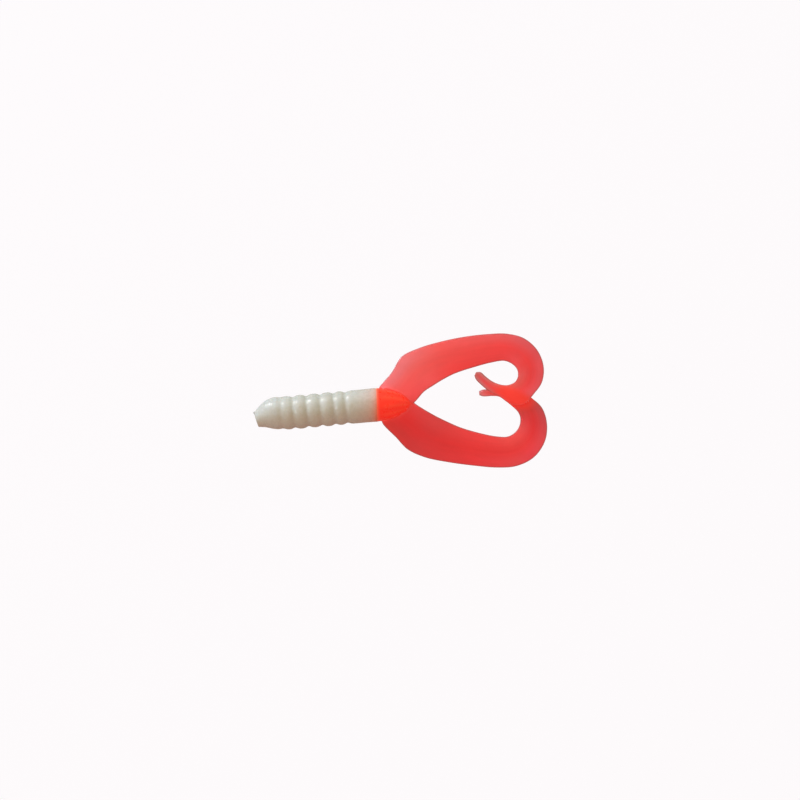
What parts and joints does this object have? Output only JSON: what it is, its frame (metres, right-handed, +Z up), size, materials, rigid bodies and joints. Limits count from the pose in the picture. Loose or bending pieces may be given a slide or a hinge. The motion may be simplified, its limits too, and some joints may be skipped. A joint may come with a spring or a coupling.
{
  "type": "soft plastic worm",
  "caption": "Soft plastic fishing grub with a ringed round body and two flat curling tails that cross, jointed so that the body bends and the tails flap and uncurl.",
  "frame": {"origin": "where the body's axis meets the flat cut face of the nose", "axes": "+X along the body from nose to tails, +Y towards the tail that lies on top, +Z up from the surface that the bait lies on"},
  "size_m": [0.077, 0.0356, 0.0088],
  "materials": {
    "white_vinyl": "glossy pearl white plastisol",
    "red_vinyl": "glossy translucent orange-red plastisol",
    "coral_vinyl": "satin translucent coral-red plastisol"
  },
  "bodies": {
    "nose": {"nose_segment": "white_vinyl"},
    "front": {"front_segment": "white_vinyl"},
    "middle": {"middle_segment": "white_vinyl"},
    "rear": {"collar_segment": "white_vinyl", "tail_hub": "red_vinyl"},
    "upper_blade": {"upper_blade": "coral_vinyl"},
    "upper_curl": {"upper_curl": "coral_vinyl"},
    "upper_hook": {"upper_hook": "coral_vinyl"},
    "upper_tip": {"upper_tip": "coral_vinyl"},
    "lower_blade": {"lower_blade": "coral_vinyl"},
    "lower_curl": {"lower_curl": "coral_vinyl"},
    "lower_hook": {"lower_hook": "coral_vinyl"},
    "lower_tip": {"lower_tip": "coral_vinyl"}
  },
  "joints": [
    {"name": "front_bend", "type": "hinge", "parent": "nose", "child": "front", "pos_m": [0.0103, 0, 0], "axis": [0, 0, 1], "range_deg": [-16, 16], "stiffness_Nm_per_rad": 0.004},
    {"name": "body_arch", "type": "hinge", "parent": "front", "child": "middle", "pos_m": [0.0175, 0, 0], "axis": [0, 1, 0], "range_deg": [-16, 16], "stiffness_Nm_per_rad": 0.004},
    {"name": "rear_bend", "type": "hinge", "parent": "middle", "child": "rear", "pos_m": [0.0241, 0, 0], "axis": [0, 0, 1], "range_deg": [-16, 16], "stiffness_Nm_per_rad": 0.004},
    {"name": "upper_flap", "type": "hinge", "parent": "rear", "child": "upper_blade", "pos_m": [0.03845, 0.00295, 0], "axis": [0.8763, -0.4818, 0], "range_deg": [0, 35], "stiffness_Nm_per_rad": 0.0001},
    {"name": "upper_uncurl", "type": "hinge", "parent": "upper_blade", "child": "upper_curl", "pos_m": [0.0635, 0.0122, -0.0038], "axis": [0, 0, 1], "range_deg": [0, 25], "stiffness_Nm_per_rad": 0.0005},
    {"name": "upper_unhook", "type": "hinge", "parent": "upper_curl", "child": "upper_hook", "pos_m": [0.0733, 0.0049, -0.0026], "axis": [0, 0, 1], "range_deg": [0, 25], "stiffness_Nm_per_rad": 0.0003},
    {"name": "upper_flick", "type": "hinge", "parent": "upper_hook", "child": "upper_tip", "pos_m": [0.0632, 0.0017, -0.0026], "axis": [0.5878, 0.809, 0], "range_deg": [0, 40], "stiffness_Nm_per_rad": 0.00001},
    {"name": "lower_flap", "type": "hinge", "parent": "rear", "child": "lower_blade", "pos_m": [0.03855, -0.0036, 0], "axis": [-0.8686, -0.4955, 0], "range_deg": [-35, 0], "stiffness_Nm_per_rad": 0.0001},
    {"name": "lower_uncurl", "type": "hinge", "parent": "lower_blade", "child": "lower_curl", "pos_m": [0.0635, -0.0153, -0.0039], "axis": [0, 0, 1], "range_deg": [-25, 0], "stiffness_Nm_per_rad": 0.0005},
    {"name": "lower_unhook", "type": "hinge", "parent": "lower_curl", "child": "lower_hook", "pos_m": [0.0728, -0.0079, -0.0039], "axis": [0, 0, 1], "range_deg": [-25, 0], "stiffness_Nm_per_rad": 0.0003},
    {"name": "lower_flick", "type": "hinge", "parent": "lower_hook", "child": "lower_tip", "pos_m": [0.0633, 0.0004, -0.0039], "axis": [0.1045, 0.9945, 0], "range_deg": [-40, 0], "stiffness_Nm_per_rad": 0.00001}
  ],
  "couplings": [
    {"joint": "upper_unhook", "follows": "upper_uncurl", "ratio": 1},
    {"joint": "lower_unhook", "follows": "lower_uncurl", "ratio": 1}
  ]
}
